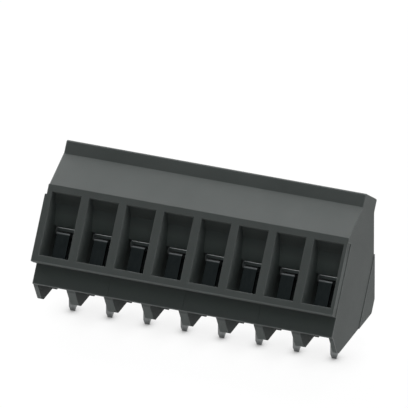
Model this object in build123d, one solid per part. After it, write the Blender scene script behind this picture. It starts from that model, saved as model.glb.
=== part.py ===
"""Eight-pole screw terminal block for a printed circuit board, with a slanted wire entry.

X runs along the row of poles, Y points to the back and Z up. The origin is on the board,
under the middle of the row of solder pins. Lengths are in millimetres.

The front face leans back, and nearly everything inside is square to it. Places in the side
view are therefore given as u, the way down the front face from its top edge, and n, the
depth behind that face.
"""
from build123d import *
from math import cos, radians, sin
import os

# The row of poles
poles = 8
poles_per_module = 2
pitch = 5.08

# Outline of the housing, seen from the side
tilt = 35.0
front_top_height = 14.7
front_top_ahead = 1.47
lip_depth = 1.45
strip_drop = 2.64
strip_wall = 0.4
tower_rise = 6.23
tower_set_back = 2.95
tower_depth = 4.83
band_height = 1.78
tower_back_height = 1.74
heel_height = 1.58
toe_ahead = 5.07
toe_slope_ahead = 0.72
toe_slope_height = 0.41
tower_edge_radius = 0.25
front_edge_radius = 0.15
strip_edge_bevel = 0.1
shoulder_radius = 0.5

# Joining faces between modules, and the rib on the free left end
seam_step = 0.1
front_seam_top = 0.6
front_seam_depth = 1.25
rear_seam_depth = 11.2
end_bevel = 0.08
seam_bevel = 0.05
end_rib_proud = 0.28
end_rib_top = 1.3
end_rib_depth = 1.15
end_rib_radius = 0.12

# Wire entry
entry_width = 3.94
entry_top = 0.9
entry_drop = 8.2
sill_height = 1.0
entry_edge_bevel = 0.08
ceiling_start_depth = 1.1
ceiling_knee_drop = 1.1
ceiling_knee_depth = 2.45
partition_wall = 0.3
partition_end_depth = 3.5
partition_gap_above_bar = 0.12

# Current bar, which is one bent strip with the solder pin
bar_top = 4.87
bar_front_depth = 2.8
bar_width = 2.5
strip_metal = 0.5
bar_edge_radius = 0.15
bend_radius = 0.25
pin_width = 0.9
pin_length = 3.75
pin_taper_length = 0.6
pin_taper_inset = 0.15
pin_shoulder_height = 0.5

# Clamp sleeve
sleeve_width = 3.6
sleeve_depth = 3.36
sleeve_sheet = 0.45
sleeve_nut = 1.3
sleeve_bend_radius = 0.55
sleeve_travel = 2.2
tongue_width = 1.76
tongue_end_drop = 4.7
tongue_bend_radius = 0.5

# Clamp screw
thread_diameter = 2.5
head_diameter = 3.3
head_height = 1.8
slot_width = 0.6
slot_depth = 0.9
mouth_diameter = 3.1
mouth_depth = 0.45

# Fits and clearances
head_clearance = 0.1
shank_clearance = 0.1
thread_clearance = 0.03
screw_end_gap = 0.05
sleeve_stop_gap = 0.08
sleeve_chamber_gap = 0.07
sleeve_leg_gap = 0.22
sleeve_top_gap = 0.22
tongue_strip_gap = 0.1
leg_side_gap = 0.1

# Feet beside the pins, and the hollow behind them
foot_ahead = 2.05
foot_height = 2.6
hollow_wall = 0.9
hollow_side_wall = 0.3
hollow_top_width = 0.95

# Room left beyond a face, so that a cut runs clear of it
cut_margin = 2.0

# Places a solid with the middle of its underside at the origin
on_its_base = (Align.CENTER, Align.CENTER, Align.MIN)

# How near an edge lies to its stated place, and the shortest edge that is bevelled
edge_tolerance = 0.01
shortest_bevelled_edge = 0.5

# Values that follow from the ones above
row_length = poles * pitch
modules = poles // poles_per_module
module_length = poles_per_module * pitch
entry_end = entry_top + entry_drop
front_drop = entry_end + sill_height
shoulder_drop = tower_back_height - tower_rise
strip_back_depth = lip_depth + strip_wall
strip_end_drop = front_drop + strip_drop
tower_back_depth = tower_set_back + tower_depth
bar_bottom = bar_top + strip_metal
partition_end = bar_top - partition_gap_above_bar
chamber_front_depth = partition_end_depth + partition_wall
sleeve_front_depth = chamber_front_depth + sleeve_chamber_gap
sleeve_back_depth = sleeve_front_depth + sleeve_depth
chamber_back_depth = sleeve_back_depth + sleeve_chamber_gap
screw_depth = (sleeve_front_depth + sleeve_back_depth) / 2
leg_front_depth = sleeve_back_depth + sleeve_leg_gap
leg_back_depth = leg_front_depth + strip_metal
sleeve_floor = bar_bottom + sleeve_stop_gap
sleeve_bottom = sleeve_floor + sleeve_sheet
sleeve_nut_bottom = bar_top - sleeve_stop_gap - sleeve_travel
sleeve_top = sleeve_nut_bottom - sleeve_nut
chamber_top = sleeve_top - sleeve_top_gap
tongue_front_depth = strip_back_depth + tongue_strip_gap
tongue_end = sleeve_floor + tongue_end_drop
head_top = -tower_rise + mouth_depth + screw_end_gap
head_seat = head_top + head_height
screw_tip = bar_top - screw_end_gap


def side(u, n):
    """Return (y, z) of the point u down the front face and n behind it."""
    lean = radians(tilt)
    y = -front_top_ahead - u * sin(lean) + n * cos(lean)
    z = front_top_height - u * cos(lean) - n * sin(lean)
    return (y, z)


def drop_where_y(n, y):
    """Return u of the point at depth n that has the given y."""
    lean = radians(tilt)
    return (n * cos(lean) - front_top_ahead - y) / sin(lean)


def depth_at(y, z):
    """Return n, the depth behind the front face, of the point (y, z)."""
    lean = radians(tilt)
    return (y + front_top_ahead) * cos(lean) + (front_top_height - z) * sin(lean)


def drop_where_z(n, z):
    """Return u of the point at depth n that has the given height."""
    lean = radians(tilt)
    return (front_top_height - n * sin(lean) - z) / cos(lean)


def rear_wall_behind():
    """Return y of the rear wall, which starts where the back of the tower ends."""
    return side(shoulder_drop, tower_back_depth)[0]


def slab(outline, x_low, x_high):
    """Extrude a side-view outline of (y, z) points along the row."""
    corners = [(x_low, y, z) for y, z in outline]
    face = make_face(Polyline(*corners, close=True))
    return extrude(face, amount=x_high - x_low, dir=(1, 0, 0))


def centred_slab(outline, x, width):
    """Extrude a side-view outline by a width centred on x."""
    return slab(outline, x - width / 2, x + width / 2)


def pole_x(pole):
    """Return x of the middle of a pole, counted from 0."""
    return (pole + 0.5) * pitch - row_length / 2


def screw_plane(x, u):
    """Plane square to the screw axis at drop u, facing the screw head."""
    lean = radians(tilt)
    y, z = side(u, screw_depth)
    return Plane(origin=(x, y, z), x_dir=(1, 0, 0), z_dir=(0, sin(lean), cos(lean)))


def axis_cylinder(x, u_low, u_high, diameter):
    """Cylinder on the screw axis between two drops, u_low nearer the head."""
    return screw_plane(x, u_high) * Cylinder(diameter / 2, u_high - u_low, align=on_its_base)


def edges_at(solid, x_low, x_high, points):
    """Edges along X between two x values that pass through one of the (y, z) points."""
    found = []
    middle = (x_low + x_high) / 2
    for edge in solid.edges().filter_by(Axis.X):
        centre = edge.center()
        within = abs(centre.X - middle) < (x_high - x_low) / 2
        for y, z in points:
            near = abs(centre.Y - y) < edge_tolerance and abs(centre.Z - z) < edge_tolerance
            if near and within:
                found.append(edge)
    return found


def end_edges(solid, x, outline):
    """Edges in the end face at x that lie along an open side-view outline."""
    found = []
    for start, end in zip(outline[:-1], outline[1:]):
        stretch = Line((x, *start), (x, *end))
        for edge in solid.edges():
            off = stretch.distance_to(edge.center())
            if off < edge_tolerance and edge.length > shortest_bevelled_edge:
                found.append(edge)
    return found


def entry_edges(solid):
    """Edges round the wire entries in the front face."""
    lean = radians(tilt)
    outward = Vector(0, -cos(lean), sin(lean))
    flat_faces = solid.faces().filter_by(GeomType.PLANE)
    facing = [face for face in flat_faces if (face.normal_at() - outward).length < edge_tolerance]
    front = max(facing, key=lambda face: face.center().dot(outward))
    found = []
    for wire in front.inner_wires():
        found.extend(wire.edges())
    return found


def housing_outline():
    """Side view of a housing wall, clockwise from the front edge of the tower."""
    back = rear_wall_behind()
    body_depth = depth_at(back, heel_height)
    return [
        side(-tower_rise, tower_set_back),
        side(-tower_rise, tower_back_depth),
        side(shoulder_drop, tower_back_depth),
        (back, heel_height),
        side(drop_where_z(body_depth, 0), body_depth),
        (-toe_ahead, 0),
        (-toe_ahead - toe_slope_ahead, toe_slope_height),
        side(strip_end_drop, strip_back_depth),
        side(strip_end_drop, lip_depth),
        side(front_drop, lip_depth),
        side(front_drop, 0),
        side(0, 0),
        side(band_height - tower_rise, tower_set_back),
    ]


def entry_outline():
    """Side view of the hollow of one pole: wire entry, clamp chamber and open underside."""
    foot_drop = drop_where_z(chamber_back_depth, foot_height)
    below = -cut_margin
    return [
        side(entry_top, -cut_margin),
        side(entry_top, ceiling_start_depth),
        side(entry_top + ceiling_knee_drop, ceiling_knee_depth),
        side(partition_end, partition_end_depth),
        side(partition_end, chamber_front_depth),
        side(chamber_top, chamber_front_depth),
        side(chamber_top, chamber_back_depth),
        side(foot_drop, chamber_back_depth),
        (-foot_ahead, foot_height),
        (-foot_ahead, below),
        side(drop_where_z(strip_back_depth, below), strip_back_depth),
        side(entry_end, strip_back_depth),
        side(entry_end, -cut_margin),
    ]


def leg_slot_outline():
    """Side view of the slot that holds the leg of the current bar and opens under the pin."""
    pin_back = strip_metal / 2
    slot_top = bar_top - leg_side_gap
    leg_end = drop_where_y(leg_back_depth, pin_back)
    foot_drop = drop_where_z(chamber_front_depth, foot_height)
    return [
        side(slot_top, chamber_front_depth),
        side(slot_top, leg_back_depth),
        side(leg_end, leg_back_depth),
        (pin_back, -cut_margin),
        (-foot_ahead - cut_margin, -cut_margin),
        side(foot_drop, chamber_front_depth),
    ]


def rear_hollow_outline():
    """Side view of the hollow moulded into the thick rear of a pole, open at the bottom."""
    front = strip_metal / 2 + hollow_wall
    back = rear_wall_behind() - hollow_wall
    depth_front = leg_back_depth + hollow_wall
    depth_back = depth_at(rear_wall_behind(), heel_height) - hollow_wall
    top_drop = drop_where_y(depth_front, back - hollow_top_width)
    top_height = side(top_drop, depth_front)[1]
    heel_drop = drop_where_z(depth_back, -cut_margin)
    return [
        (front, -cut_margin),
        side(drop_where_y(depth_front, front), depth_front),
        side(top_drop, depth_front),
        (back, top_height),
        side(drop_where_y(depth_back, back), depth_back),
        side(heel_drop, depth_back),
    ]


def screw_passage(x):
    """Stepped hole for the screw: driver mouth, head chamber and shank hole."""
    head_bore = head_diameter + 2 * head_clearance
    shank_bore = thread_diameter + 2 * shank_clearance
    head_floor = head_seat + screw_end_gap
    mouth_end = -tower_rise + mouth_depth
    mouth = axis_cylinder(x, -tower_rise - cut_margin, mouth_end, mouth_diameter)
    head_room = axis_cylinder(x, mouth_end, head_floor, head_bore)
    shank_hole = axis_cylinder(x, head_floor, chamber_top + screw_end_gap, shank_bore)
    return mouth + head_room + shank_hole


def front_seam_zone(x_low, x_high, top):
    """Flat band on a joining face, beside the front frame, from the drop top down."""
    outline = [
        side(top, -cut_margin),
        side(top, front_seam_depth),
        side(front_drop + cut_margin, front_seam_depth),
        side(front_drop + cut_margin, -cut_margin),
    ]
    return slab(outline, x_low, x_high)


def rear_seam_zone(x_low, x_high):
    """Flat band on a joining face, at the rear."""
    reach = front_top_height + tower_rise
    outline = [
        side(-reach, rear_seam_depth),
        side(-reach, reach),
        side(reach, reach),
        side(reach, rear_seam_depth),
    ]
    return slab(outline, x_low, x_high)


def beyond(x_low, x_high):
    """Everything between two x values, over the whole side view."""
    reach = front_top_height + tower_rise
    return slab([(-reach, -reach), (reach, -reach), (reach, reach), (-reach, reach)], x_low, x_high)


def shape_joining_faces(body, x_low, x_high):
    """Step both ends so that modules fit into each other: in front one way, at the rear the other.

    On the free left end the band in front runs up to the top edge.
    """
    low_end_top = front_seam_top if x_low > -row_length / 2 else 0
    body -= beyond(x_high, x_high + seam_step) - rear_seam_zone(x_high, x_high + seam_step)
    body -= front_seam_zone(x_high - seam_step, x_high + seam_step, front_seam_top)
    body -= beyond(x_low - seam_step, x_low) - front_seam_zone(x_low - seam_step, x_low, low_end_top)
    body -= rear_seam_zone(x_low - seam_step, x_low + seam_step)
    return body


def end_rib(x):
    """Rib on the free left end, with a rounded outer edge at the front."""
    outline = [
        side(end_rib_top, 0),
        side(end_rib_top, end_rib_depth),
        side(front_drop, end_rib_depth),
        side(front_drop, 0),
    ]
    rib = slab(outline, x - end_rib_proud, x)
    outer_edges = rib.faces().sort_by(Axis.X)[0].edges()
    return fillet(outer_edges, end_rib_radius)


def housing_module(module):
    """One moulded housing for two poles, with its walls, hollows and screw passages."""
    x_low = module * module_length - row_length / 2
    x_high = x_low + module_length
    outline = housing_outline()
    tower_outline = outline[12:] + outline[:2]
    slope_and_tower_outline = outline[11:] + outline[:2]
    strip_outline = [outline[8], outline[9]]
    body = slab(outline, x_low - seam_step, x_high + seam_step)
    body = fillet(edges_at(body, x_low, x_high, outline[0:2]), tower_edge_radius)
    body = fillet(edges_at(body, x_low, x_high, outline[2:3]), shoulder_radius)
    body = fillet(edges_at(body, x_low, x_high, [outline[10], outline[11]]), front_edge_radius)
    body = chamfer(edges_at(body, x_low, x_high, outline[8:9]), strip_edge_bevel)
    body = shape_joining_faces(body, x_low, x_high)
    for pole in range(module * poles_per_module, (module + 1) * poles_per_module):
        x = pole_x(pole)
        body -= centred_slab(entry_outline(), x, entry_width)
        body -= centred_slab(leg_slot_outline(), x, bar_width + 2 * leg_side_gap)
        body -= centred_slab(rear_hollow_outline(), x, entry_width - 2 * hollow_side_wall)
        body -= screw_passage(x)
    body = chamfer(entry_edges(body), entry_edge_bevel)
    if module > 0:
        body = chamfer(end_edges(body, x_low, strip_outline), seam_bevel)
    else:
        body = chamfer(end_edges(body, x_low, tower_outline), end_bevel)
    if module < modules - 1:
        body = chamfer(end_edges(body, x_high, strip_outline), seam_bevel)
    else:
        body = chamfer(end_edges(body, x_high, slope_and_tower_outline), end_bevel)
    if module == 0:
        body += end_rib(x_low - seam_step)
    return body


def contact_outline():
    """Side view of the bent strip: current bar, leg and solder pin."""
    half = strip_metal / 2
    return [
        side(bar_top, bar_front_depth),
        side(bar_top, leg_back_depth),
        side(drop_where_y(leg_back_depth, half), leg_back_depth),
        (half, pin_taper_length - pin_length),
        (-half, pin_taper_length - pin_length),
        side(drop_where_y(leg_front_depth, -half), leg_front_depth),
        side(bar_bottom, leg_front_depth),
        side(bar_bottom, bar_front_depth),
    ]


def pin_sides(x):
    """The two blocks cut away beside the narrow solder pin."""
    half = strip_metal / 2
    low = -pin_length - cut_margin
    outline = [(-half, pin_shoulder_height), (half, pin_shoulder_height), (half, low), (-half, low)]
    left = slab(outline, x - bar_width / 2 - cut_margin, x - pin_width / 2)
    right = slab(outline, x + pin_width / 2, x + bar_width / 2 + cut_margin)
    return left + right


def pin_tip(x):
    """Tapered end of the solder pin."""
    top = Plane(origin=(x, 0, pin_taper_length - pin_length), z_dir=(0, 0, 1))
    bottom = Plane(origin=(x, 0, -pin_length), z_dir=(0, 0, 1))
    wide = top * Rectangle(pin_width, strip_metal)
    narrow = bottom * Rectangle(pin_width - 2 * pin_taper_inset, strip_metal - 2 * pin_taper_inset)
    return loft([wide.face(), narrow.face()])


def contact(x):
    """Current bar, leg and solder pin of one pole, bent from one strip."""
    outline = contact_outline()
    strip = centred_slab(outline, x, bar_width)
    x_low = x - bar_width
    x_high = x + bar_width
    strip = fillet(edges_at(strip, x_low, x_high, outline[1:2]), bend_radius + strip_metal)
    strip = fillet(edges_at(strip, x_low, x_high, outline[6:7]), bend_radius)
    strip = fillet(edges_at(strip, x_low, x_high, outline[0:1]), bar_edge_radius)
    return strip - pin_sides(x) + pin_tip(x)


def clamp_sleeve(x):
    """Folded sleeve with a threaded top and a tongue that closes the space under the bar."""
    band_outline = [
        side(sleeve_top, sleeve_front_depth),
        side(sleeve_top, sleeve_back_depth),
        side(sleeve_bottom, sleeve_back_depth),
        side(sleeve_bottom, sleeve_front_depth),
    ]
    window_outline = [
        side(sleeve_nut_bottom, sleeve_front_depth - cut_margin),
        side(sleeve_nut_bottom, sleeve_back_depth + cut_margin),
        side(sleeve_floor, sleeve_back_depth + cut_margin),
        side(sleeve_floor, sleeve_front_depth - cut_margin),
    ]
    tongue_back_depth = tongue_front_depth + sleeve_sheet
    tongue_outline = [
        side(sleeve_floor, sleeve_front_depth),
        side(sleeve_floor, tongue_front_depth),
        side(tongue_end, tongue_front_depth),
        side(tongue_end, tongue_back_depth),
        side(sleeve_bottom, tongue_back_depth),
        side(sleeve_bottom, sleeve_front_depth),
    ]
    block = centred_slab(band_outline, x, sleeve_width)
    lean = radians(tilt)
    along_depth = Axis((0, 0, 0), (0, cos(lean), -sin(lean)))
    block = fillet(block.edges().filter_by(along_depth), sleeve_bend_radius)
    block -= centred_slab(window_outline, x, sleeve_width - 2 * sleeve_sheet)
    block -= axis_cylinder(
        x, sleeve_top - cut_margin, sleeve_nut_bottom + sleeve_sheet, thread_diameter + 2 * thread_clearance
    )
    tongue = centred_slab(tongue_outline, x, tongue_width)
    x_low = x - tongue_width
    x_high = x + tongue_width
    tongue = fillet(edges_at(tongue, x_low, x_high, tongue_outline[1:2]), tongue_bend_radius)
    return block + tongue


def clamp_screw(x):
    """Slotted cheese-head screw that presses on the current bar with its end."""
    head = axis_cylinder(x, head_top, head_seat, head_diameter)
    shank = axis_cylinder(x, head_seat, screw_tip, thread_diameter)
    slot_block = Box(head_diameter + cut_margin, slot_width, slot_depth + cut_margin, align=on_its_base)
    slot = screw_plane(x, head_top + slot_depth) * slot_block
    return head + shank - slot


def save(name, shape):
    """Write one named piece to its own file."""
    shape.label = name
    export_step(shape, f"parts/{name}.step")


os.makedirs("parts", exist_ok=True)
for module in range(modules):
    save(f"housing_module_{module + 1}", housing_module(module))
for pole in range(poles):
    save(f"contact_{pole + 1}", contact(pole_x(pole)))
    save(f"clamp_sleeve_{pole + 1}", clamp_sleeve(pole_x(pole)))
    save(f"clamp_screw_{pole + 1}", clamp_screw(pole_x(pole)))
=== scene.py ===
"""Looks of the eight-pole terminal block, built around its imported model. Lengths in metres."""
import bmesh
import bpy
from math import cos, pi, radians, sin
from mathutils import Matrix, Vector


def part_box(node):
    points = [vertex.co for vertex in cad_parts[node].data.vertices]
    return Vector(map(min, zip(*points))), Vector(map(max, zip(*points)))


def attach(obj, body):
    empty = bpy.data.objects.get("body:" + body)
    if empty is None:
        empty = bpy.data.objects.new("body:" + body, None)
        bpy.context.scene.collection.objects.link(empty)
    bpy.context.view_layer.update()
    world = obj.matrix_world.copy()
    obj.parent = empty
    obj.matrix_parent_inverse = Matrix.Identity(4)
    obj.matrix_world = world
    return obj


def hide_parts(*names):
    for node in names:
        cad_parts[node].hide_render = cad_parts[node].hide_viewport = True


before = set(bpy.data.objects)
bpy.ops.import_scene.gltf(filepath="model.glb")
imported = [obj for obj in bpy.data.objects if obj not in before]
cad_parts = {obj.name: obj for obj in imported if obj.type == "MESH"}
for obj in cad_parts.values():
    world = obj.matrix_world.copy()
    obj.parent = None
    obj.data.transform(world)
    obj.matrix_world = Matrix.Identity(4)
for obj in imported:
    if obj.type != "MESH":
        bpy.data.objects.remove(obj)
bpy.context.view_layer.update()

MM = 0.001

# The photograph's view: direction of the camera and where the model's origin falls in the image
IMAGE_SIZE = 408
CAMERA_AZIMUTH = radians(21.07)
CAMERA_ELEVATION = radians(28.07)
FOCAL_PIXELS = 19300
PIXELS_PER_METRE = 7882
ORIGIN_PIXEL = (203.26, 308.14)
SENSOR_WIDTH = 36.0
CLIP_START = 0.01
CLIP_END = 20

# Places in the model. The front face leans back, and drops and depths start at its top edge.
# Heights start at the seat on the board
SEAT = Vector((0, 0, 0))
UP = Vector((0, 0, 1))
ROW = Vector((1, 0, 0))
TILT = radians(35)
FRONT_EDGE = Vector((0, -1.47, 14.7)) * MM
DOWN_FRONT = Vector((0, -sin(TILT), -cos(TILT)))
INTO_FRONT = Vector((0, cos(TILT), -sin(TILT)))

# Wire entries, painted lighter inside, with the ceiling's painted shade fading out below it
ENTRY_TOP = 0.9 * MM
ENTRY_END = 9.1 * MM
CHAMBER_DEPTH = 3.6 * MM
CEILING_FADE = (1.6 * MM, 3.4 * MM)

# Lip below the entries, and the band that is set back under it, painted darker as shade from the
# lip
LIP_END = 10.1 * MM
BAND_END = 12.64 * MM
BAND_DEPTH = 1.45 * MM
BAND_WALL = 0.4 * MM
BAND_BEVEL = 0.05 * MM

# Feet between the pins, whose slanted fronts face the camera. Their sides carry painted shade and
# their fronts painted light
FOOT_TOP = 2.75 * MM
FOOT_FRONT_NORMAL = Vector((0, -0.885, -0.466))
FOOT_FRONT = 10.46 * MM
FOOT_SIDE_REACH = 2.5 * MM

# Row of modules: its end faces lie outside ROW_HALF, and painted edge highlights stop short of the
# joints
END_MARGIN = 0.2 * MM
ROW_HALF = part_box("housing_module_4")[1][0] - END_MARGIN
MODULE_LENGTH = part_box("housing_module_4")[0][0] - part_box("housing_module_3")[0][0]
JOINT_REACH = 0.24 * MM

# Metal pieces
BAR_TOP = 4.87 * MM
TONGUE_TOP = 5.45 * MM
PIN_TOP = 1.0 * MM
PIN_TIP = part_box("contact_1")[0][2]

# Floor: to the model it is grey with a glow that fades out, and the camera sees it nearly white
FLOOR_HALF_SIZE = 1.5
FLOOR_GAP = 0.02 * MM
FLOOR_ALBEDO = 0.6
FLOOR_GLOW = 0.42
GLOW_REACH = (40 * MM, 28 * MM)
FLOOR_SEEN_WHITE = 0.94
FLOOR_WHITE = 1.03

# Soft shades on the floor, along the row and at each pin: how far they reach, the openness at
# which they are darkest and gone, and the share of white left where they are darkest
FLOOR_SHADES = (
    (4.6 * MM, 0.3, 0.93, 0.68),
    (1.6 * MM, 0.5, 0.96, 0.4),
)
SHADE_SAMPLES = 16

# Lamps round the model: name, direction, power in watts and colour
LAMP_AIM = Vector((0, 0, 8)) * MM
LAMP_DISTANCE = 0.7
LAMP_SIZE = 0.5
NEUTRAL = (1.0, 0.99, 1.0)
COOL = (0.78, 1.0, 0.95)
LAMPS = (
    ("above", (0.0, 0.0, 1.0), 1.1, NEUTRAL),
    ("behind", (0.0, 0.6, 0.8), 3.6, NEUTRAL),
    ("behind_left", (-0.6, 0.55, 0.58), 5.4, NEUTRAL),
    ("right", (1.0, 0.0, 0.25), 1.3, NEUTRAL),
    ("front_right", (0.6, -0.5, 0.62), 0.3, COOL),
    ("front", (0.0, -0.6, 0.8), 0.25, COOL),
)

# Colours, as linear values
WHITE = (1, 1, 1, 1)
PLASTIC_LOW = (0.092, 0.100, 0.097, 1)
PLASTIC_HIGH = (0.104, 0.112, 0.109, 1)
# Painted highlights on the housing's outer edges, brightest on the end faces
PLASTIC_EDGE_HIGHLIGHT = (0.120, 0.128, 0.125, 1)
PLASTIC_END_HIGHLIGHT = (0.215, 0.222, 0.220, 1)
# Painted highlight on the lower edges of the lip and the band
PLASTIC_LOWER_HIGHLIGHT = (0.165, 0.175, 0.172, 1)
# Painted shade on the band under the lip
PLASTIC_BAND_SHADE = (0.070, 0.078, 0.075, 1)
# Painted light inside the wire entries, and painted shade under their ceilings
PLASTIC_INSIDE_LIGHT = (0.128, 0.140, 0.136, 1)
PLASTIC_CEILING_SHADE = (0.070, 0.078, 0.075, 1)
# Painted shade on the sides of the feet, and painted light on their slanted fronts
PLASTIC_FOOT_SIDE_SHADE = (0.062, 0.069, 0.067, 1)
PLASTIC_FOOT_FRONT_LIGHT = (0.135, 0.147, 0.143, 1)
# Painted dark reflection and shade on the bar in the block, and a painted highlight on its top edge
BAR_SHADE_LOW = (0.016, 0.019, 0.019, 1)
BAR_SHADE_HIGH = (0.024, 0.027, 0.027, 1)
BAR_EDGE_HIGHLIGHT = (0.29, 0.30, 0.30, 1)
TIN_LOW = (0.140, 0.147, 0.147, 1)
TIN_HIGH = (0.200, 0.208, 0.208, 1)
# Sleeve: nearly black as painted dark reflection and shade, with a painted highlight on the
# tongue's bend
ZINC_SHADE_LOW = (0.008, 0.0100, 0.0105, 1)
ZINC_SHADE_HIGH = (0.012, 0.0145, 0.0150, 1)
ZINC_BEND_HIGHLIGHT = (0.090, 0.095, 0.097, 1)
SCREW_LOW = (0.185, 0.190, 0.195, 1)
SCREW_HIGH = (0.270, 0.275, 0.280, 1)

# Painted highlights on edges, and the edges of painted tones: how far the change of colour reaches
EDGE_BLEND = 0.03 * MM
BAR_EDGE = 0.14 * MM
BEND_BRIGHT = 0.46 * MM
BEND_BLEND = 0.2 * MM
PLASTIC_EDGE_REACH = 0.18 * MM

# Share of plastic behind the surface on a flat face and on an outer edge
FLAT_FILL = 0.95
EDGE_FILL = 0.5
EDGE_SAMPLES = 8

# Noise: scale for each metre, detail and roughness
CLOUD_NOISE = (180, 3, 0.5)
GRAIN_NOISE = (5200, 4, 0.6)
MARK_NOISE = (900, 5, 0.6)
RING_NOISE = (9000, 3, 0.5)
NOISE_RANGE = (0.3, 0.7)
BAR_STRETCH = (3, 3, 0.4)
SLEEVE_STRETCH = (3, 1, 1)

# Surfaces: the range of roughness, and the height and strength of the relief
PLASTIC_ROUGHNESS = (0.55, 0.68)
PLASTIC_RELIEF = (0.012 * MM, 0.5)
PLASTIC_SPECULAR = 0.1
PLASTIC_IOR = 1.5
BAR_ROUGHNESS = (0.3, 0.45)
SLEEVE_ROUGHNESS = (0.3, 0.42)
MARK_RELIEF = (0.004 * MM, 0.4)
SCREW_ROUGHNESS = (0.42, 0.56)
RING_RELIEF = (0.01 * MM, 0.5)

# Clamp screws. The flats are shares of the pitch
THREAD_PITCH = 0.45 * MM
CREST_RADIUS = 1.25 * MM
CORE_RADIUS = 1.0 * MM
CREST_FLAT = 0.25
ROOT_FLAT = 0.125
SHANK_LENGTH = 8.75 * MM
TIP_TAPER = 0.4 * MM
TIP_INSET = 0.2 * MM
HEAD_RADIUS = 1.65 * MM
HEAD_HEIGHT = 1.8 * MM
HEAD_BEVEL = 0.15 * MM
HEAD_BEVEL_STEPS = 3
ROUND_PROFILE = 0.5
SLOT_WIDTH = 0.6 * MM
SLOT_DEPTH = 0.9 * MM
SCREW_TIP_DROP = 4.82 * MM
SCREW_DEPTH = 5.55 * MM
THREAD_SIDES = 32
RINGS_PER_TURN = 6
HEAD_SIDES = 64
SHARP_ANGLE = radians(35)


def new_object(name, data):
    """Object that holds some data, linked into the scene."""
    thing = bpy.data.objects.new(name, data)
    bpy.context.collection.objects.link(thing)
    return thing


def view_axes():
    """Return the camera's right, up and backward directions."""
    right = Vector((cos(CAMERA_AZIMUTH), sin(CAMERA_AZIMUTH), 0))
    level = Vector((sin(CAMERA_AZIMUTH), -cos(CAMERA_AZIMUTH), 0))
    back = level * cos(CAMERA_ELEVATION) + UP * sin(CAMERA_ELEVATION)
    up = back.cross(right)
    return right, up, back


def add_camera():
    """Place the camera so that the model falls where the photograph shows it."""
    right, up, back = view_axes()
    centre = IMAGE_SIZE / 2
    across = (centre - ORIGIN_PIXEL[0]) / PIXELS_PER_METRE
    rise = (ORIGIN_PIXEL[1] - centre) / PIXELS_PER_METRE
    target = right * across + up * rise
    distance = FOCAL_PIXELS / PIXELS_PER_METRE
    data = bpy.data.cameras.new("camera")
    data.sensor_width = SENSOR_WIDTH
    data.lens = FOCAL_PIXELS * SENSOR_WIDTH / IMAGE_SIZE
    data.clip_start = CLIP_START
    data.clip_end = CLIP_END
    camera = new_object("camera", data)
    camera.location = target + back * distance
    camera.rotation_euler = back.to_track_quat("Z", "Y").to_euler()
    bpy.context.scene.camera = camera


def area_lamp(name, direction, power, colour):
    """Square lamp that shines at the model from a direction."""
    away = Vector(direction).normalized()
    data = bpy.data.lights.new(name, "AREA")
    data.shape = "SQUARE"
    data.size = LAMP_SIZE
    data.energy = power
    data.color = colour
    lamp = new_object(name, data)
    lamp.location = LAMP_AIM + away * LAMP_DISTANCE
    lamp.rotation_euler = away.to_track_quat("Z", "Y").to_euler()


def add_lamps():
    """Broad lamps round the model."""
    for name, direction, power, colour in LAMPS:
        area_lamp(name, direction, power, colour)


def feed(tree, value, socket):
    """Give an input a value, which is another node's output or plain numbers."""
    if isinstance(value, bpy.types.NodeSocket):
        tree.links.new(value, socket)
    else:
        socket.default_value = value


def maths(tree, operation, first, second):
    """Result of an operation on two values."""
    node = tree.nodes.new("ShaderNodeMath")
    node.operation = operation
    feed(tree, first, node.inputs[0])
    feed(tree, second, node.inputs[1])
    return node.outputs["Value"]


def product(tree, first, second):
    """Product of two shares."""
    return maths(tree, "MULTIPLY", first, second)


def fade(tree, source, start, end, low=0):
    """Share that goes from low where the source is at start to 1 where it is at end."""
    node = tree.nodes.new("ShaderNodeMapRange")
    node.inputs["From Min"].default_value = start
    node.inputs["From Max"].default_value = end
    node.inputs["To Min"].default_value = low
    tree.links.new(source, node.inputs["Value"])
    return node.outputs["Result"]


def between(tree, source, low, high):
    """Share that is 1 where the source lies between two values and 0 outside them."""
    above = fade(tree, source, low - EDGE_BLEND / 2, low + EDGE_BLEND / 2)
    below = fade(tree, source, high + EDGE_BLEND / 2, high - EDGE_BLEND / 2)
    return product(tree, above, below)


def mix(tree, share, first, second):
    """Mix two colours by a share."""
    node = tree.nodes.new("ShaderNodeMixRGB")
    tree.links.new(share, node.inputs["Fac"])
    feed(tree, first, node.inputs["Color1"])
    feed(tree, second, node.inputs["Color2"])
    return node.outputs["Color"]


def grey(value):
    """Grey as a four-part colour."""
    return (value, value, value, 1)


def ramp(tree, source, low, high):
    """Colour that goes from low to high with a noise's value."""
    node = tree.nodes.new("ShaderNodeValToRGB")
    for element, position, colour in zip(node.color_ramp.elements, NOISE_RANGE, (low, high)):
        element.position = position
        element.color = colour
    tree.links.new(source, node.inputs["Fac"])
    return node.outputs["Color"]


def offset_from(tree, origin):
    """Offset of a surface point from a place in the model, as a vector."""
    place = tree.nodes.new("ShaderNodeTexCoord")
    node = tree.nodes.new("ShaderNodeVectorMath")
    node.operation = "SUBTRACT"
    node.inputs[1].default_value = origin
    tree.links.new(place.outputs["Object"], node.inputs[0])
    return node.outputs["Vector"]


def along(tree, direction, origin=FRONT_EDGE):
    """Distance of a surface point from a place, measured along a direction."""
    node = tree.nodes.new("ShaderNodeVectorMath")
    node.operation = "DOT_PRODUCT"
    node.inputs[1].default_value = direction
    tree.links.new(offset_from(tree, origin), node.inputs[0])
    return node.outputs["Value"]


def noise(tree, scale, detail, roughness):
    """Noise texture with its scale for each metre."""
    node = tree.nodes.new("ShaderNodeTexNoise")
    node.inputs["Scale"].default_value = scale
    node.inputs["Detail"].default_value = detail
    node.inputs["Roughness"].default_value = roughness
    return node


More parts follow.
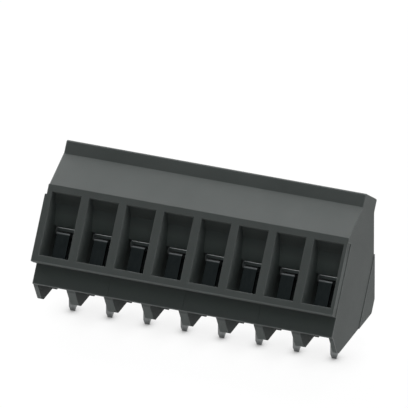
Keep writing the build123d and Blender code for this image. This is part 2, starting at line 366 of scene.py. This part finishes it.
def solid_noise(tree, settings, stretch=(1, 1, 1)):
    """Value of a noise in the model's own coordinates."""
    place = tree.nodes.new("ShaderNodeTexCoord")
    mapping = tree.nodes.new("ShaderNodeMapping")
    mapping.inputs["Scale"].default_value = stretch
    texture = noise(tree, *settings)
    tree.links.new(place.outputs["Object"], mapping.inputs["Vector"])
    tree.links.new(mapping.outputs["Vector"], texture.inputs["Vector"])
    return texture.outputs["Fac"]


def seen_rays(tree):
    """Share that is 1 for camera, glossy and transmission rays, which see the backdrop as white."""
    path = tree.nodes.new("ShaderNodeLightPath")
    either = maths(tree, "MAXIMUM", path.outputs["Is Camera Ray"], path.outputs["Is Glossy Ray"])
    return maths(tree, "MAXIMUM", either, path.outputs["Is Transmission Ray"])


def add_world():
    """World that is white to the camera and in reflections, and gives no light otherwise."""
    world = bpy.data.worlds.new("world")
    bpy.context.scene.world = world
    world.use_nodes = True
    tree = world.node_tree
    tree.nodes.clear()
    background = tree.nodes.new("ShaderNodeBackground")
    background.inputs["Color"].default_value = WHITE
    tree.links.new(seen_rays(tree), background.inputs["Strength"])
    output = tree.nodes.new("ShaderNodeOutputWorld")
    tree.links.new(background.outputs["Background"], output.inputs["Surface"])


def contact_shade(tree, reach, dark_at, open_at, dark):
    """Share of the white left on the floor near the model, from dark up to 1 in the open."""
    around = tree.nodes.new("ShaderNodeAmbientOcclusion")
    around.samples = SHADE_SAMPLES
    around.inputs["Distance"].default_value = reach
    return fade(tree, around.outputs["AO"], dark_at, open_at, dark)


def lit_floor(tree):
    """Floor as the model sees it: grey under the lamps, with a glow that fades outwards."""
    diffuse = tree.nodes.new("ShaderNodeBsdfDiffuse")
    diffuse.inputs["Color"].default_value = grey(FLOOR_ALBEDO)
    place = tree.nodes.new("ShaderNodeTexCoord")
    mapping = tree.nodes.new("ShaderNodeMapping")
    mapping.inputs["Scale"].default_value = (1 / GLOW_REACH[0], 1 / GLOW_REACH[1], 0)
    spread = tree.nodes.new("ShaderNodeTexGradient")
    spread.gradient_type = "SPHERICAL"
    glow = tree.nodes.new("ShaderNodeEmission")
    tree.links.new(place.outputs["Object"], mapping.inputs["Vector"])
    tree.links.new(mapping.outputs["Vector"], spread.inputs["Vector"])
    tree.links.new(product(tree, spread.outputs["Fac"], FLOOR_GLOW), glow.inputs["Strength"])
    both = tree.nodes.new("ShaderNodeAddShader")
    tree.links.new(diffuse.outputs["BSDF"], both.inputs[0])
    tree.links.new(glow.outputs["Emission"], both.inputs[1])
    return both.outputs["Shader"]


def seen_floor(tree):
    """Floor as the camera sees it: white with soft shades under the model."""
    strength = FLOOR_WHITE
    for shade in FLOOR_SHADES:
        strength = product(tree, contact_shade(tree, *shade), strength)
    white = tree.nodes.new("ShaderNodeEmission")
    tree.links.new(strength, white.inputs["Strength"])
    return white.outputs["Emission"]


def floor_white():
    """White floor: the camera sees it plain, with a little of the lit floor mixed in."""
    material = bpy.data.materials.new("floor_white")
    material.use_nodes = True
    tree = material.node_tree
    tree.nodes.clear()
    mixed = tree.nodes.new("ShaderNodeMixShader")
    tree.links.new(product(tree, seen_rays(tree), FLOOR_SEEN_WHITE), mixed.inputs["Fac"])
    tree.links.new(lit_floor(tree), mixed.inputs[1])
    tree.links.new(seen_floor(tree), mixed.inputs[2])
    output = tree.nodes.new("ShaderNodeOutputMaterial")
    tree.links.new(mixed.outputs["Shader"], output.inputs["Surface"])
    return material


def add_floor():
    """Floor just under the pin tips."""
    height = PIN_TIP - FLOOR_GAP
    half = FLOOR_HALF_SIZE
    corners = [(x * half, y * half, height) for x, y in ((-1, -1), (1, -1), (1, 1), (-1, 1))]
    mesh = bpy.data.meshes.new("floor")
    mesh.from_pydata(corners, [], [(0, 1, 2, 3)])
    mesh.materials.append(floor_white())
    floor = new_object("floor", mesh)


def new_material(name):
    """Material with a principled shader, its node tree and that shader."""
    material = bpy.data.materials.new(name)
    material.use_nodes = True
    tree = material.node_tree
    shader = tree.nodes["Principled BSDF"]
    return material, tree, shader


def texture_surface(tree, shader, texture, roughness, relief):
    """Let a texture's value vary a shader's roughness and raise its fine relief."""
    rough = ramp(tree, texture, grey(roughness[0]), grey(roughness[1]))
    tree.links.new(rough, shader.inputs["Roughness"])
    node = tree.nodes.new("ShaderNodeBump")
    node.inputs["Distance"].default_value = relief[0]
    node.inputs["Strength"].default_value = relief[1]
    tree.links.new(texture, node.inputs["Height"])
    tree.links.new(node.outputs["Normal"], shader.inputs["Normal"])


def entry_light_and_shade(tree, colour, in_row, drop, depth):
    """Paint the inside of the wire entries lighter as painted light, and darker under the ceiling
    as painted shade.
    """
    in_drop = between(tree, drop, ENTRY_TOP, ENTRY_END)
    in_depth = between(tree, depth, EDGE_BLEND, CHAMBER_DEPTH)
    inside = product(tree, in_row, product(tree, in_drop, in_depth))
    tone = mix(tree, fade(tree, drop, *CEILING_FADE), PLASTIC_CEILING_SHADE, PLASTIC_INSIDE_LIGHT)
    return mix(tree, inside, colour, tone)


def band_shade(tree, colour, in_row, drop, depth):
    """Darken the band that is set back under the lip with painted shade."""
    in_drop = between(tree, drop, LIP_END, BAND_END)
    in_depth = between(tree, depth, BAND_DEPTH - EDGE_BLEND, BAND_DEPTH + BAND_BEVEL)
    on_band = product(tree, in_row, product(tree, in_drop, in_depth))
    return mix(tree, on_band, colour, PLASTIC_BAND_SHADE)


def convex_edges(tree):
    """Share that grows towards outer edges, where little plastic lies behind the surface."""
    within = tree.nodes.new("ShaderNodeAmbientOcclusion")
    within.inside = True
    within.only_local = True
    within.samples = EDGE_SAMPLES
    within.inputs["Distance"].default_value = PLASTIC_EDGE_REACH
    return fade(tree, within.outputs["AO"], FLAT_FILL, EDGE_FILL)


def near_joint(tree, place):
    """Share that is 1 where two housing modules meet, from the place along the row."""
    distance = maths(tree, "PINGPONG", place, MODULE_LENGTH / 2)
    return fade(tree, distance, JOINT_REACH + PLASTIC_EDGE_REACH / 2, JOINT_REACH)


def outer_edge_highlights(tree, colour, in_row, place):
    """Lighten outer edges with painted highlights, most of all on the end faces, but not the joints
    between modules.
    """
    edge = mix(tree, in_row, PLASTIC_END_HIGHLIGHT, PLASTIC_EDGE_HIGHLIGHT)
    edged = mix(tree, convex_edges(tree), colour, edge)
    return mix(tree, product(tree, in_row, near_joint(tree, place)), edged, colour)


def lower_edge_highlights(tree, colour, drop, depth):
    """Lighten the lower edges of the lip and of the band with painted highlights."""
    on_lip = between(tree, depth, -EDGE_BLEND, PLASTIC_EDGE_REACH)
    lip = product(tree, on_lip, between(tree, drop, LIP_END - PLASTIC_EDGE_REACH, LIP_END))
    colour = mix(tree, lip, colour, PLASTIC_LOWER_HIGHLIGHT)
    on_band = between(tree, depth, BAND_DEPTH - EDGE_BLEND, BAND_DEPTH + BAND_WALL)
    band = product(tree, on_band, between(tree, drop, BAND_END, BAND_END + PLASTIC_EDGE_REACH))
    return mix(tree, band, colour, PLASTIC_LOWER_HIGHLIGHT)


def foot_light_and_shade(tree, colour, in_row):
    """Darken the sides of the feet with painted shade and lighten their slanted fronts with painted
    light.
    """
    height = along(tree, UP, SEAT)
    in_feet = product(tree, in_row, fade(tree, height, FOOT_TOP + EDGE_BLEND, FOOT_TOP))
    ahead = along(tree, FOOT_FRONT_NORMAL)
    behind_front = between(tree, ahead, FOOT_FRONT - FOOT_SIDE_REACH, FOOT_FRONT - EDGE_BLEND)
    colour = mix(tree, product(tree, in_feet, behind_front), colour, PLASTIC_FOOT_SIDE_SHADE)
    on_front = fade(tree, ahead, FOOT_FRONT - EDGE_BLEND, FOOT_FRONT)
    return mix(tree, product(tree, in_feet, on_front), colour, PLASTIC_FOOT_FRONT_LIGHT)


def moulded_plastic():
    """Dark grey moulded plastic: fine eroded texture, painted edge highlights, and painted light
    and shade on entries, band and feet.
    """
    material, tree, shader = new_material("housing_plastic")
    place = along(tree, ROW)
    drop = along(tree, DOWN_FRONT)
    depth = along(tree, INTO_FRONT)
    in_row = between(tree, place, -ROW_HALF, ROW_HALF)
    colour = ramp(tree, solid_noise(tree, CLOUD_NOISE), PLASTIC_LOW, PLASTIC_HIGH)
    colour = entry_light_and_shade(tree, colour, in_row, drop, depth)
    colour = band_shade(tree, colour, in_row, drop, depth)
    colour = outer_edge_highlights(tree, colour, in_row, place)
    colour = lower_edge_highlights(tree, colour, drop, depth)
    colour = foot_light_and_shade(tree, colour, in_row)
    tree.links.new(colour, shader.inputs["Base Color"])
    shader.inputs["Specular IOR Level"].default_value = PLASTIC_SPECULAR
    shader.inputs["IOR"].default_value = PLASTIC_IOR
    texture_surface(tree, shader, solid_noise(tree, GRAIN_NOISE), PLASTIC_ROUGHNESS, PLASTIC_RELIEF)
    return material


def drawn_marks(tree, shader, stretch, roughness):
    """Fine drawing marks of sheet metal, as roughness and relief. Return their value."""
    marks = solid_noise(tree, MARK_NOISE, stretch)
    texture_surface(tree, shader, marks, roughness, MARK_RELIEF)
    shader.inputs["Metallic"].default_value = 1.0
    return marks


def tinned_bar():
    """Tinned bar: painted dark reflection and shade in the block, a painted highlight on the top
    edge, and dull tin on the pins.
    """
    material, tree, shader = new_material("tinned_copper")
    marks = drawn_marks(tree, shader, BAR_STRETCH, BAR_ROUGHNESS)
    bar_shade = ramp(tree, marks, BAR_SHADE_LOW, BAR_SHADE_HIGH)
    tin = ramp(tree, marks, TIN_LOW, TIN_HIGH)
    drop = along(tree, DOWN_FRONT)
    top_edge = fade(tree, drop, BAR_TOP + BAR_EDGE, BAR_TOP + BAR_EDGE - EDGE_BLEND)
    inner = mix(tree, top_edge, bar_shade, BAR_EDGE_HIGHLIGHT)
    pin = fade(tree, along(tree, UP, SEAT), PIN_TOP + EDGE_BLEND, PIN_TOP)
    tree.links.new(mix(tree, pin, inner, tin), shader.inputs["Base Color"])
    return material


def zinc_sheet():
    """Sleeve painted nearly black as dark reflection and shade, with a painted highlight on the
    tongue's bend.
    """
    material, tree, shader = new_material("plated_steel")
    marks = drawn_marks(tree, shader, SLEEVE_STRETCH, SLEEVE_ROUGHNESS)
    dark = ramp(tree, marks, ZINC_SHADE_LOW, ZINC_SHADE_HIGH)
    drop = along(tree, DOWN_FRONT)
    bend = fade(tree, drop, TONGUE_TOP + BEND_BRIGHT, TONGUE_TOP + BEND_BRIGHT - BEND_BLEND)
    tree.links.new(mix(tree, bend, dark, ZINC_BEND_HIGHLIGHT), shader.inputs["Base Color"])
    return material


def axis_distance(tree):
    """Distance of a point of the screw's mesh from the screw's axis."""
    across = tree.nodes.new("ShaderNodeVectorMath")
    across.operation = "CROSS_PRODUCT"
    across.inputs[1].default_value = DOWN_FRONT
    length = tree.nodes.new("ShaderNodeVectorMath")
    length.operation = "LENGTH"
    tree.links.new(offset_from(tree, FRONT_EDGE + INTO_FRONT * SCREW_DEPTH), across.inputs[0])
    tree.links.new(across.outputs["Vector"], length.inputs[0])
    return length.outputs["Value"]


def screw_steel():
    """Pale zinc on turned steel, with fine rings round the axis."""
    material, tree, shader = new_material("screw_steel")
    texture = noise(tree, *RING_NOISE)
    texture.noise_dimensions = "1D"
    tree.links.new(axis_distance(tree), texture.inputs["W"])
    rings = texture.outputs["Fac"]
    texture_surface(tree, shader, rings, SCREW_ROUGHNESS, RING_RELIEF)
    shader.inputs["Metallic"].default_value = 1.0
    tree.links.new(ramp(tree, rings, SCREW_LOW, SCREW_HIGH), shader.inputs["Base Color"])
    return material


def dress(node, material):
    """Give a CAD node one material."""
    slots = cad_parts[node].data.materials
    slots.clear()
    slots.append(material)


def dress_nodes():
    """Give every CAD node its finish."""
    finishes = {
        "housing_module": moulded_plastic(),
        "contact": tinned_bar(),
        "clamp_sleeve": zinc_sheet(),
        "clamp_screw": screw_steel(),
    }
    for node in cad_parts:
        kind = node.rsplit("_", 1)[0]
        dress(node, finishes[kind])


def thread_radius(turn, height):
    """Radius of the screw's shank at a turn, in parts of one, and a height above its tip."""
    phase = (height / THREAD_PITCH - turn) % 1
    wave = 1 - abs(2 * phase - 1)
    rise = min(1, max(0, (wave - ROOT_FLAT) / (1 - CREST_FLAT - ROOT_FLAT)))
    from_tip = height / TIP_TAPER
    from_head = (SHANK_LENGTH - height) / THREAD_PITCH
    thread = (CREST_RADIUS - CORE_RADIUS) * rise * min(1, from_tip, from_head)
    taper = TIP_INSET * max(0, 1 - from_tip)
    return CORE_RADIUS + thread - taper


def shank_mesh():
    """Threaded shank from its tip up to the head, closed at both ends, with Z along the axis."""
    rings = round(SHANK_LENGTH / THREAD_PITCH * RINGS_PER_TURN)
    corners = []
    for ring in range(rings + 1):
        height = SHANK_LENGTH * ring / rings
        for side_number in range(THREAD_SIDES):
            turn = side_number / THREAD_SIDES
            radius = thread_radius(turn, height)
            corners.append((radius * cos(2 * pi * turn), radius * sin(2 * pi * turn), height))
    faces = [tuple(reversed(range(THREAD_SIDES)))]
    for ring in range(rings):
        start = ring * THREAD_SIDES
        for side_number in range(THREAD_SIDES):
            here = start + side_number
            after = start + (side_number + 1) % THREAD_SIDES
            faces.append((here, after, after + THREAD_SIDES, here + THREAD_SIDES))
    faces.append(tuple(range(rings * THREAD_SIDES, (rings + 1) * THREAD_SIDES)))
    mesh = bpy.data.meshes.new("shank")
    mesh.from_pydata(corners, [], faces)
    return mesh


def finished_mesh(name, shape):
    """Mesh of a shape that is being built, which is then freed."""
    mesh = bpy.data.meshes.new(name)
    shape.to_mesh(mesh)
    shape.free()
    return mesh


def head_mesh():
    """Round head with a bevelled top rim, with Z along the axis and the shank's tip at 0."""
    shape = bmesh.new()
    middle = Matrix.Translation((0, 0, SHANK_LENGTH + HEAD_HEIGHT / 2))
    bmesh.ops.create_cone(
        shape, cap_ends=True, segments=HEAD_SIDES, radius1=HEAD_RADIUS, radius2=HEAD_RADIUS,
        depth=HEAD_HEIGHT, matrix=middle,
    )
    below_top = SHANK_LENGTH + HEAD_HEIGHT - HEAD_BEVEL
    rim = [edge for edge in shape.edges if min(vert.co.z for vert in edge.verts) > below_top]
    bmesh.ops.bevel(
        shape, geom=rim, offset=HEAD_BEVEL, segments=HEAD_BEVEL_STEPS, profile=ROUND_PROFILE,
        affect="EDGES",
    )
    return finished_mesh("head", shape)


def slot_mesh():
    """Block that cuts the slot, longer than the head is wide and centred on the head's top."""
    shape = bmesh.new()
    top = SHANK_LENGTH + HEAD_HEIGHT
    size = Matrix.Diagonal((3 * HEAD_RADIUS, SLOT_WIDTH, 2 * SLOT_DEPTH, 1))
    bmesh.ops.create_cube(shape, size=1, matrix=Matrix.Translation((0, 0, top)) @ size)
    return finished_mesh("slot", shape)


def combined(first, second, operation):
    """Mesh of one mesh joined with or cut by another."""
    base = new_object("base", first)
    tool = new_object("tool", second)
    modifier = base.modifiers.new("combine", "BOOLEAN")
    modifier.operation = operation
    modifier.solver = "EXACT"
    modifier.object = tool
    evaluated = base.evaluated_get(bpy.context.evaluated_depsgraph_get())
    mesh = bpy.data.meshes.new_from_object(evaluated)
    for piece in (base, tool):
        bpy.data.objects.remove(piece)
    return mesh


def screw_mesh():
    """Threaded and slotted screw, leaning as the front face does, in the middle of the row."""
    slotted = combined(head_mesh(), slot_mesh(), "DIFFERENCE")
    mesh = combined(shank_mesh(), slotted, "UNION")
    tip = FRONT_EDGE + DOWN_FRONT * SCREW_TIP_DROP + INTO_FRONT * SCREW_DEPTH
    mesh.transform(Matrix.Translation(tip) @ Matrix.Rotation(-TILT, 4, "X"))
    for polygon in mesh.polygons:
        polygon.use_smooth = True
    mesh.set_sharp_from_angle(angle=SHARP_ANGLE)
    mesh.materials.clear()
    mesh.materials.append(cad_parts["clamp_screw_1"].data.materials[0])
    return mesh


def add_screws():
    """Screws with real threads in place of the plain ones."""
    mesh = screw_mesh()
    poles = sum(node.startswith("clamp_screw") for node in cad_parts)
    for pole in range(1, poles + 1):
        low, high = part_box(f"clamp_screw_{pole}")
        screw = new_object(f"threaded_screw_{pole}", mesh)
        screw.location.x = (low[0] + high[0]) / 2
        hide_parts(f"clamp_screw_{pole}")
        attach(screw, f"screw_{pole}")


add_camera()
add_world()
add_floor()
add_lamps()
dress_nodes()
add_screws()
bpy.context.scene.view_settings.view_transform = "Standard"
